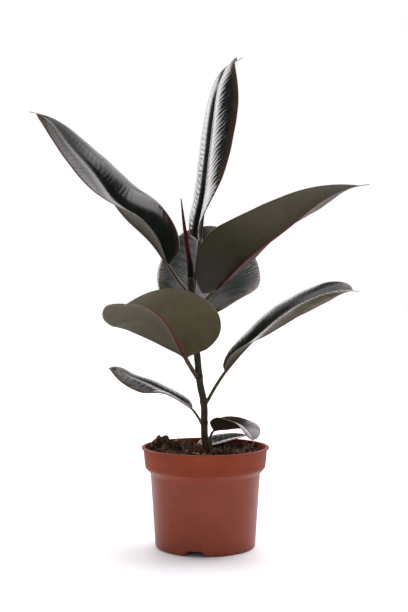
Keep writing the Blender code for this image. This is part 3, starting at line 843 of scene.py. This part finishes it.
# %% [markdown]
# Bark is drawn in three layers: a brown ground that turns olive green where the stem is
# young, pale lengthwise streaks from a stretched noise, and dark rings at the leaf scars. The
# scars are found by height, with one narrow ramp each.


# %% Bark material
def bark_material(name, scars, young, old, green_from, green_to):
    """Bark that turns from its old to its young colour over a stretch of height, in mm."""
    made, tree, shader = new_material(name)
    place = object_place(tree)
    height = add_node(tree, "ShaderNodeSeparateXYZ", {0: place}).outputs["Z"]
    stretched = add_node(tree, "ShaderNodeMapping", {"Vector": place, "Scale": (1, 1, 0.16)}).outputs[0]
    fibres = noise(tree, stretched, 900.0, 6.0, 0.65)
    patches = noise(tree, place, 110.0, 3.0)
    dots = add_node(tree, "ShaderNodeTexVoronoi", {"Vector": place, "Scale": 620.0}).outputs["Distance"]
    greening = ramp(tree, height, green_from * MM, green_to * MM)
    youth = calculate(tree, "ADD", greening, calculate(tree, "MULTIPLY_ADD", patches, 0.9, -0.45))
    base = layered(
        tree,
        old,
        (ramp(tree, youth, 0.1, 0.9), young),
        (ramp(tree, fibres, 0.46, 0.74, 0, 0.7), colour(100, 88, 66)),
        (ramp(tree, fibres, 0.3, 0.47, 0.85, 0), colour(26, 18, 14)),
        (ramp(tree, dots, 0.1, 0.22, 0.45, 0), colour(128, 112, 90)),
    )
    for scar in scars:
        away = calculate(tree, "ABSOLUTE", calculate(tree, "SUBTRACT", height, scar * MM))
        base = blend_colours(tree, ramp(tree, away, 0.2 * MM, 1.2 * MM, 0.45, 0), base, colour(28, 20, 17))
    paint(tree, shader, base, 0.5, 0.2, fibres, 0.5, 0.0004)
    return made


stem_scars = LEAF_NODES + OLD_SCARS
bark = bark_material("stem_bark_skin", stem_scars, colour(31, 26, 8), colour(58, 36, 18), 108, 150)
green_bark = bark_material("young_bark_skin", (97.0,), colour(78, 82, 42), colour(62, 62, 34), 80, 84)
stem.data.materials.append(bark)
shoot.data.materials.append(green_bark)
place_piece(stem, "stem_bark", "stem")
place_piece(shoot, "stem_bark")

# %% [markdown]
# ## The sheath of the next leaf
#
# A rubber plant wraps each new leaf in a pointed red sheath, which is rolled round it like a
# paper cone: one edge laps over the other along its whole length. A loft with a small step
# in its ring gives the lap, and lengthwise ribs in the material follow the growth.

# %% Sheath
SHEATH_ROUTE = (
    (-13.7, 0.0, 252.3, 3.45),
    (-14.2, 0.0, 262.0, 3.1),
    (-15.7, 0.0, 273.5, 2.3),
    (-17.4, 0.0, 284.5, 2.0),
    (-20.0, 0.0, 303.0, 1.5),
    (-22.7, 0.0, 326.5, 0.45),
)
SHEATH_SIDES = 72
LAP_DEPTH = 0.16
LAP_START = 250
LAP_TWIST = 1.2
SHEATH_RIBS = 11
RIB_DEPTH = 0.035
RIB_DEPTH_RADIUS = 3.4
shares = np.linspace(0, 1, 260)
route = smooth_run(SHEATH_ROUTE, shares)
turns = np.linspace(0, 2 * math.pi, SHEATH_SIDES, endpoint=False)
lap_turn = math.radians(LAP_START) + LAP_TWIST * shares
spiral = ((turns[None, :] - lap_turn[:, None]) % (2 * math.pi)) / (2 * math.pi)
lap = LAP_DEPTH * (spiral - 0.5) * smooth_step(shares / 0.1)[:, None]
ribs = RIB_DEPTH * np.sin(SHEATH_RIBS * 2 * math.pi * spiral)
sheath_skin = route[:, 3:4] * (1 + lap) + ribs * route[:, 3:4] / RIB_DEPTH_RADIUS
sheath_values = {
    "along": np.repeat(shares[:, None], SHEATH_SIDES, axis=1),
    "around": spiral,
}
sheath = loft("red_sheath", round_rings(route[:, :3], sheath_skin, SHEATH_SIDES), sheath_values)
print("sheath rings:", len(shares))


# %% Sheath material
def attribute(tree, name):
    return add_node(tree, "ShaderNodeAttribute", attribute_name=name).outputs["Fac"]


burgundy, tree, shader = new_material("burgundy_sheath")
along = attribute(tree, "along")
rib_place = {
    "X": calculate(tree, "MULTIPLY", attribute(tree, "around"), 60.0),
    "Y": calculate(tree, "MULTIPLY", along, 2.5),
}
streaks = noise(tree, add_node(tree, "ShaderNodeCombineXYZ", rib_place).outputs[0], 1.0, 5.0, 0.6)
base = layered(
    tree,
    colour(8, 4, 4),
    (ramp(tree, along, 0.15, 0.75), colour(84, 13, 23)),
    (ramp(tree, along, 0.8, 1.0, 0, 0.6), colour(112, 40, 48)),
    (ramp(tree, streaks, 0.52, 0.75, 0, 0.35), colour(118, 48, 54)),
    (ramp(tree, streaks, 0.3, 0.45, 0.6, 0), colour(28, 8, 12)),
)
paint(tree, shader, base, 0.35, 0.12, streaks, 0.35, 0.0003)
sheath.data.materials.append(burgundy)
place_piece(sheath, "sheath_red", "bud_sheath")

# %% [markdown]
# ## The leaves
#
# A rubber plant's leaf is a thick oval blade with a strong midrib and a pointed drip tip, on
# a round stalk. It is a loft again: a line for the midrib, found by adding up short steps in
# the way that the leaf heads and rises, and a ring of points across it at each step. The two
# halves fold up from the midrib and curl down towards the margin, and the whole blade rolls
# about it, so few numbers give nine leaves that all look different. They are those of the
# CAD solids.

# %% Leaf shapes, millimetres and degrees
LEAF_THICKNESS = 0.7
RIB_HALF_WIDTH = 1.5
STALK_TO_BLADE = 0.05
SEAT_GAP = 0.3
NARROW_WIDTH = 4.0
DRIP_HALF_WIDTH = 0.65
LEAVES = {
    "leaf_lowest": dict(
        height=89.8, stalk=10, blade=56, stalk_radius=1.0, half_width=14, drip=4,
        heading=(107, 40, 25, 18), rise=(9, 10, 8, 2), roll=(6, 6), fold=(8, 8),
        curl=20, broad=0.45, base=0.4, end=0.75,
    ),
    "leaf_side_shoot": dict(
        height=None, stalk=8, blade=60, stalk_radius=1.1, half_width=15.5, drip=4,
        heading=(-34, -36, -40, -48, -62, -75), rise=(75, 12, 10, 2, -30, -72),
        roll=(2, -2, -5, -7, -8), fold=(58, 44, 23, 15, 12), curl=20,
        broad=0.42, base=0.3, end=0.5,
    ),
    "leaf_lower_left": dict(
        height=116.5, stalk=14, blade=104, stalk_radius=1.2, half_width=19.5, drip=6,
        heading=(148, 161, 164, 153), rise=(59, 37, 26, 23, 19, 26, -64),
        roll=(-6, 1, -13, -10, -11), fold=(10, 3, -12, -14, -17), curl=24,
        broad=0.5, base=0.8, end=0.73,
    ),
    "leaf_lower_right": dict(
        height=136.0, stalk=31, blade=167, stalk_radius=1.6, half_width=26.5, drip=6,
        heading=(32, 21, 20, 16, 10), rise=(57, 47, 38, 21, -8),
        roll=(-15, 0, 9, 16, 21), fold=(48, 9, -1, -1, 24), curl=28,
        broad=0.48, base=0.75, end=0.38,
    ),
    "leaf_front_left": dict(
        height=160.0, stalk=26, blade=148, stalk_radius=2.1, half_width=48, drip=6,
        heading=(-130, -112, -110, -116, -110, -108), rise=(48, 40, 36, 21, 7, -9),
        roll=(-2, 4, 15, 18, 15), fold=(17, 7, 0, 2, 17), curl=16,
        broad=0.43, base=0.46, end=0.56,
    ),
    "leaf_back": dict(
        height=197.0, stalk=29, blade=199, stalk_radius=2.1, half_width=53.5, drip=6,
        heading=(80, 84, 95, 103), rise=(28, 26, 33, 33), roll=(-12, 1, -7, -14),
        fold=(12, 4, 6), curl=28, broad=0.46, base=0.47, end=0.55,
    ),
    "leaf_upper_right": dict(
        height=221.5, stalk=30, blade=192, stalk_radius=2.1, half_width=48.5, drip=8,
        heading=(-43, -50, -40, -35, -33), rise=(40, 34, 30, 32, 3),
        roll=(23, 1, -2, -5, -1), fold=(-2, 23, 21, 14, 10), curl=16,
        broad=0.35, base=0.45, end=0.89,
    ),
    "leaf_upper_left": dict(
        height=238.0, stalk=31, blade=208, stalk_radius=1.9, half_width=38.5, drip=8,
        heading=(148, 175, 177, 167, 155), rise=(44, 58, 42, 58, 47, 50, 12),
        roll=(-23, -22, -23, -16, -13), fold=(39, 36, 7, 2, -12), curl=40,
        broad=0.36, base=0.58, end=0.76,
    ),
    "leaf_top": dict(
        height=245.0, stalk=40, blade=212, stalk_radius=1.8, half_width=38, drip=10,
        heading=(51, 60, 66, 65, 41), rise=(76, 80, 74, 67, 23),
        roll=(-42, -42, -40, -34, -22), fold=(26, -4, -11, -11, 17), curl=42,
        broad=0.45, base=0.55, end=0.6,
    ),
}
print("leaves:", ", ".join(LEAVES))

# %% [markdown]
# What a leaf shows depends on where on it one looks: how far from the midrib, how far along,
# and whether on the face or on the back. The loft keeps those as values at its points, in
# millimetres, and the leaf material draws the midrib, the many fine side veins and the
# brownish margin from them. The blade sinks into a soft valley along the midrib and waves a
# little towards its margins, as real blades do, which keeps their reflections from running
# straight.

# %% Leaf line and ring
MIDRIB_STEPS = 400
HALF_COLUMNS = 26
RIB_COLUMNS = (0, 0.3, 0.6, 0.85)
STALK_RINGS = 14
RING_STEP = 1.15
LEAF_WAVE = 0.12
LEAF_WAVE_LENGTH = 26.0
VALLEY_DEPTH = 1.1
VALLEY_REACH = 5.0
MARGIN_ROUNDING = 0.9
GROOVE_DEPTH = 0.22
GROOVE_REACH = 0.7
KEEL_SHARE = 0.75


def ways(heading, rise):
    """Along, up and side directions for a heading and a rise in radians."""
    level, steep = np.cos(rise), np.sin(rise)
    east, north = np.cos(heading), np.sin(heading)
    along = np.stack([level * east, level * north, steep], axis=-1)
    up = np.stack([-steep * east, -steep * north, level], axis=-1)
    side = np.stack([north, -east, 0 * heading], axis=-1)
    return along, up, side


def leaf_start(leaf):
    """Where the stalk's axis meets its seat, and the way that the seat faces."""
    heading = math.radians(leaf["heading"][0])
    if leaf["height"] is None:
        facing = np.array(SHOOT_ROUTE[-1]) - smooth_run(SHOOT_ROUTE, 0.98)
        facing /= np.linalg.norm(facing)
        return np.array(SHOOT_ROUTE[-1]) + facing * SEAT_GAP, facing
    facing = np.array((math.cos(heading), math.sin(heading), 0))
    return stem_centre(leaf["height"]) + facing * (stem_radius(leaf["height"]) + SEAT_GAP), facing


def half_width(leaf, distance):
    """Half the blade's width at each distance from its base: a leaf outline, then a thin tip."""
    share = np.clip(distance / (leaf["blade"] - leaf["drip"]), 0, 1)
    broad = leaf["broad"]
    before = np.clip(1 - (1 - share / broad) ** 2, 0, 1) ** leaf["base"]
    after = np.clip(1 - ((share - broad) / (1 - broad)) ** 2, 0, 1) ** leaf["end"]
    thin = DRIP_HALF_WIDTH * (1 - 0.35 * distance / leaf["blade"])
    return np.maximum(leaf["half_width"] * np.where(share < broad, before, after), thin)


def half_section(reach, width, fold, curl):
    """Sideways and upwards place of points at their reach from the midrib, and the slope there."""
    start = fold + curl / 2
    slope = start - curl * reach / width
    radius = width / curl
    return radius * (np.sin(start) - np.sin(slope)), radius * (np.cos(slope) - np.cos(start)), slope


def leaf_distances(leaf):
    """Distances from the seat of the leaf's rings, closer together at the ends of the blade."""
    shaped = leaf["blade"] - leaf["drip"]
    count = int(shaped / RING_STEP)
    even = np.linspace(0, 1, count)
    eased = 0.45 * even + 0.55 * (1 - np.cos(math.pi * even)) / 2
    stalk = np.linspace(0, leaf["stalk"], STALK_RINGS, endpoint=False)
    tip = leaf["stalk"] + shaped + np.linspace(0, leaf["drip"], 10)[1:]
    return np.concatenate([stalk, leaf["stalk"] + shaped * eased, tip])


def midrib(leaf, distances):
    """Points down the stalk and the midrib, and the ways along, up and to the side there."""
    start, _ = leaf_start(leaf)
    length = leaf["stalk"] + leaf["blade"]
    shares = np.linspace(0, 1, MIDRIB_STEPS)
    heading, rise = (np.radians(smooth_run(leaf[key], shares)) for key in ("heading", "rise"))
    tracks = ways(heading, rise)
    steps = (tracks[0][1:] + tracks[0][:-1]) / 2 * length / (MIDRIB_STEPS - 1)
    line = np.vstack([[start], start + np.cumsum(steps, axis=0)])

    def at(track):
        return np.stack([np.interp(distances, shares * length, track[:, axis]) for axis in range(3)], axis=1)

    along, up, side = (at(track) for track in tracks)
    return at(line), *(way / np.linalg.norm(way, axis=1)[:, None] for way in (along, up, side))


# %% Blade
def blade_columns(width, rib):
    """Signed distances from the midrib, in columns that crowd together at the rib."""
    columns = np.concatenate([RIB_COLUMNS, 1 + np.linspace(0, 1, HALF_COLUMNS - len(RIB_COLUMNS))])
    beyond = rib[:, None] + (columns - 1) * (width - rib)[:, None]
    spans = np.where(columns <= 1, columns * rib[:, None], beyond)
    return np.concatenate([-spans[:, ::-1], spans[:, 1:]], axis=1)


def blade_wave(leaf, distance, share, signed, seed):
    """A slight wave along each half, stronger towards its margin."""
    reach = np.abs(signed)
    dice = np.random.default_rng(seed)
    phase = np.where(signed < 0, *dice.uniform(0, 6.28, 2))
    turns = (distance[:, None] - 0.35 * reach) / LEAF_WAVE_LENGTH
    outwards = smooth_step((reach / leaf["half_width"] - 0.25) / 0.7)
    return LEAF_WAVE * outwards * smooth_step(share / 0.1)[:, None] * np.sin(2 * math.pi * turns + phase)


def blade_rings(leaf, seed, distance, share, point, normal, across):
    """Rings round both skins of the blade, and the values that the material reads there."""
    width = half_width(leaf, distance)
    narrowing = np.minimum(1, width / NARROW_WIDTH)
    fold = np.radians(smooth_run(leaf["fold"], share)) * narrowing
    curl = math.radians(leaf["curl"]) * narrowing
    rib = np.minimum(RIB_HALF_WIDTH, 0.25 * width)
    signed = blade_columns(width, rib)
    reach, sign = np.abs(signed), np.sign(signed)[..., None]
    sideways, upwards, slope = half_section(reach, width[:, None], fold[:, None], curl[:, None])
    place = point[:, None] + across[:, None] * sign * sideways[..., None]
    place = place + normal[:, None] * upwards[..., None]
    tilt = slope[..., None] * np.abs(sign)
    out = normal[:, None] * np.cos(tilt) - across[:, None] * sign * np.sin(tilt)
    valley = VALLEY_DEPTH * np.exp(-((reach / VALLEY_REACH) ** 2)) * (width / leaf["half_width"])[:, None]
    wave = blade_wave(leaf, distance, share, signed, seed)
    place = place + out * (wave - valley)[..., None]
    inwards = width[:, None] - reach
    rounding = np.clip(inwards / MARGIN_ROUNDING, 0, 1)
    half_thick = LEAF_THICKNESS / 2 * np.sqrt(np.clip(1 - (1 - rounding) ** 2, 0.08, 1))
    fading = np.clip(1 - share, 0, 1)[:, None]
    groove = GROOVE_DEPTH * np.exp(-((reach / GROOVE_REACH) ** 2)) * fading
    keel = np.clip(1 - (reach / np.maximum(rib, 0.05)[:, None]) ** 2, 0, 1) ** 0.75
    keel = leaf["stalk_radius"] * KEEL_SHARE * fading**1.5 * keel
    upper = place + out * (half_thick - groove)[..., None]
    lower = place - out * (half_thick + keel)[..., None]
    values = {
        "across": np.concatenate([signed, signed[:, ::-1]], axis=1),
        "margin": np.concatenate([inwards, inwards[:, ::-1]], axis=1),
        "face": np.concatenate([np.ones_like(signed), np.zeros_like(signed)], axis=1),
    }
    return np.concatenate([upper, lower[:, ::-1]], axis=1), values


# %% Leaf loft
def grow_leaf(name, leaf, seed):
    """One leaf, whose rings turn from the round stalk into the folded blade."""
    distances = leaf_distances(leaf)
    point, along, up, side = midrib(leaf, distances)
    blade_distance = distances - leaf["stalk"]
    share = np.clip(blade_distance, 0, None) / leaf["blade"]
    roll = np.radians(smooth_run(leaf["roll"], share))[:, None]
    normal = up * np.cos(roll) + side * np.sin(roll)
    across = side * np.cos(roll) - up * np.sin(roll)
    flat, values = blade_rings(leaf, seed, blade_distance, share, point, normal, across)
    count = flat.shape[1]
    angles = math.pi - (np.arange(count) + 0.5) * 2 * math.pi / count
    stalk = point[:, None] + leaf["stalk_radius"] * (
        across[:, None] * np.cos(angles)[:, None] + normal[:, None] * np.sin(angles)[:, None]
    )
    blend = smooth_step((blade_distance + 1) / (STALK_TO_BLADE * leaf["blade"]))[:, None, None]
    rings = stalk * (1 - blend) + flat * blend
    start, facing = leaf_start(leaf)
    shift = (rings[0] - start) @ facing / (along[0] @ facing)
    rings[0] -= along[0] * shift[:, None]
    ones = np.ones(count)
    values |= {
        "along": blade_distance[:, None] * ones,
        "stalk": 1 - blend[..., 0] * ones,
        "share": share[:, None] * ones,
    }
    return loft(name, rings, values)


# %% [markdown]
# One function writes every leaf's material, with its colours and gloss as named values. The
# face is a very dark green under clear wax, so it shows as black with pale reflections. The
# back is dull olive with a red midrib, and a thin brownish margin closes the outline. The side
# veins lift the surface a little, which breaks the gloss into the feathered streaks that
# rubber plants show.


# %% Leaf patterns, measured in millimetres
VEIN_PITCH = 5.6
VEIN_SLANT = 0.42
VEIN_BEND = 0.006
VEIN_WANDER = 9.0
BROAD_PATTERN = 0.05


def leaf_patterns(tree, seed, along_leaf, across_leaf):
    """Broad mottling, two waves of side veins, and a fine grain that follows them."""
    reach = calculate(tree, "ABSOLUTE", across_leaf)
    broad_place = {
        "X": calculate(tree, "MULTIPLY", along_leaf, BROAD_PATTERN),
        "Y": calculate(tree, "MULTIPLY", across_leaf, BROAD_PATTERN),
        "Z": seed * 3.7,
    }
    broad_place = add_node(tree, "ShaderNodeCombineXYZ", broad_place).outputs[0]
    wander = noise(tree, broad_place, 1.5, 2.0)
    mottle = noise(tree, broad_place, 2.0, 2.0)
    slant = calculate(tree, "MULTIPLY_ADD", reach, VEIN_BEND, VEIN_SLANT)
    way = calculate(tree, "SUBTRACT", along_leaf, calculate(tree, "MULTIPLY", reach, slant))
    way = calculate(tree, "ADD", way, calculate(tree, "MULTIPLY", wander, VEIN_WANDER))
    turns = calculate(tree, "MULTIPLY", way, 1 / VEIN_PITCH)
    wave = calculate(tree, "SINE", calculate(tree, "MULTIPLY", turns, 2 * math.pi))
    finer_wave = calculate(tree, "SINE", calculate(tree, "MULTIPLY", turns, 4.6 * math.pi))
    vein_place = {"X": turns, "Y": calculate(tree, "MULTIPLY", across_leaf, 0.035), "Z": seed * 1.3}
    vein_place = add_node(tree, "ShaderNodeCombineXYZ", vein_place).outputs[0]
    return mottle, wave, finer_wave, noise(tree, vein_place, 2.6, 4.0, 0.6)


# %% Leaf material
MARGIN_COLOUR = colour(92, 76, 68)
WARM_EDGE = colour(88, 60, 46)
SHADED_BACK = colour(22, 20, 4)
STALK_DARK = colour(52, 42, 24)
STALK_LIGHT = colour(84, 74, 42)
BACK_ROUGHNESS = 0.5
BACK_SHINE = 0.14


def leaf_material(name, seed, look):
    made, tree, shader = new_material(name)
    along_leaf, across_leaf, margin, face, stalk, share = (
        attribute(tree, kept) for kept in ("along", "across", "margin", "face", "stalk", "share")
    )
    mottle, wave, finer_wave, fine = leaf_patterns(tree, seed, along_leaf, across_leaf)
    vein = calculate(tree, "MULTIPLY", ramp(tree, wave, 0.8, 1.0), 0.14)
    back = layered(
        tree,
        look["back_dark"],
        (ramp(tree, mottle, 0.3, 0.75, 0.25, 0.75), look["back_light"]),
        (vein, look["back_light"]),
        (ramp(tree, fine, 0.5, 0.8, 0, 0.04), look["back_dark"]),
        (ramp(tree, share, 0.1, 0.6, look["base_shade"], 0), SHADED_BACK),
    )
    # Painted sheen: the back's olive laid on one half of the face stands in for the pale reflection there.
    half = calculate(tree, "MULTIPLY", across_leaf, look["painted_sheen_half"])
    front = layered(
        tree,
        look["face_dark"],
        (ramp(tree, mottle, 0.35, 0.7), look["face_light"]),
        (ramp(tree, half, 0.5, 2.5, 0, 0.85), back),
        # Painted reflection: a pale lavender colour laid on the face towards the tip.
        (ramp(tree, share, 0.5, 0.8, 0, look["tip_reflection_amount"]), look["painted_tip_reflection"]),
        (ramp(tree, margin, 0.5, 9.0, 0.5, 0), WARM_EDGE),
    )
    reach = calculate(tree, "ABSOLUTE", across_leaf)
    rib_share = calculate(tree, "DIVIDE", reach, calculate(tree, "SUBTRACT", RIB_HALF_WIDTH, share))
    rib_colour = blend_colours(tree, face, look["rib_back"], look["rib_face"])
    stalk_grain = noise(tree, object_place(tree), 420.0, 4.0)
    stalk_colour = blend_colours(tree, ramp(tree, stalk_grain, 0.35, 0.7), STALK_DARK, STALK_LIGHT)
    base = layered(
        tree,
        blend_colours(tree, face, back, front),
        (ramp(tree, rib_share, 0.45, 1.0, 1, 0), rib_colour),
        (ramp(tree, margin, 0.2, 0.7, 0.8, 0), MARGIN_COLOUR),
        (stalk, stalk_colour),
    )
    wax = calculate(tree, "MULTIPLY_ADD", face, look["face_roughness"] - BACK_ROUGHNESS, BACK_ROUGHNESS)
    uneven = calculate(tree, "MULTIPLY", calculate(tree, "SUBTRACT", mottle, 0.5), 0.12)
    roughness = calculate(tree, "ADD", wax, uneven, clamp=True)
    gloss = calculate(tree, "MULTIPLY_ADD", face, look["shine"] - BACK_SHINE, BACK_SHINE)
    gloss = calculate(tree, "MULTIPLY", gloss, ramp(tree, share, 0.45, 0.85, 1, look["tip_shine"]))
    swell = calculate(tree, "MULTIPLY_ADD", finer_wave, 0.35, wave)
    swell = calculate(tree, "MULTIPLY", swell, ramp(tree, reach, 1.0, 9.0, 0.25, 1.0))
    relief = calculate(tree, "MULTIPLY_ADD", fine, 0.8, swell)
    relief = calculate(tree, "MULTIPLY", relief, ramp(tree, face, 0, 1, 0.35, 1))
    paint(tree, shader, base, roughness, gloss, relief, 1.0, look["lift"] * MM)
    return made


# %% [markdown]
# Most leaves share one finish. A few differ: the leaf at the back is duller and more strongly
# veined, the young leaf on the side shoot has a painted pale reflection towards its end, one half
# of the lower right leaf's face has the olive of the back painted on as a sheen, and the upper
# right leaf's back has more painted shade towards its base.

# %% Leaf finishes
LEAF_FINISH = dict(
    face_dark=colour(10, 18, 12),
    face_light=colour(20, 28, 20),
    back_dark=colour(57, 53, 35),
    back_light=colour(74, 69, 49),
    rib_face=colour(84, 64, 54),
    rib_back=colour(82, 26, 28),
    # The colour of the painted reflection on the tip of the face.
    painted_tip_reflection=colour(188, 180, 185),
    tip_reflection_amount=0,
    # How much of the painted sheen, the back's olive, lies on one half of the face.
    painted_sheen_half=0,
    base_shade=0.15,
    face_roughness=0.22,
    shine=0.5,
    tip_shine=1.0,
    lift=0.03,
)
SPECIAL_FINISH = {
    "leaf_back": dict(lift=0.12, face_roughness=0.2, shine=0.28),
    "leaf_top": dict(lift=0.05, face_roughness=0.17),
    "leaf_upper_right": dict(back_dark=colour(44, 40, 23), back_light=colour(58, 53, 35), base_shade=0.85),
    # This young leaf gets the painted reflection on its tip.
    "leaf_side_shoot": dict(tip_reflection_amount=0.85, back_dark=colour(38, 35, 22), back_light=colour(50, 46, 30)),
    # The lower right leaf has a painted sheen on one half of its face.
    "leaf_lower_right": dict(painted_sheen_half=1),
    "leaf_upper_left": dict(face_roughness=0.19, tip_shine=0.25),
    "leaf_lower_left": dict(lift=0.1),
    "leaf_lowest": dict(lift=0.06),
}
for number, (name, leaf) in enumerate(LEAVES.items()):
    blade = grow_leaf(name.replace("leaf_", "blade_"), leaf, number)
    look = LEAF_FINISH | SPECIAL_FINISH.get(name, {})
    blade.data.materials.append(leaf_material(name + "_skin", number, look))
    place_piece(blade, "leaf", name)
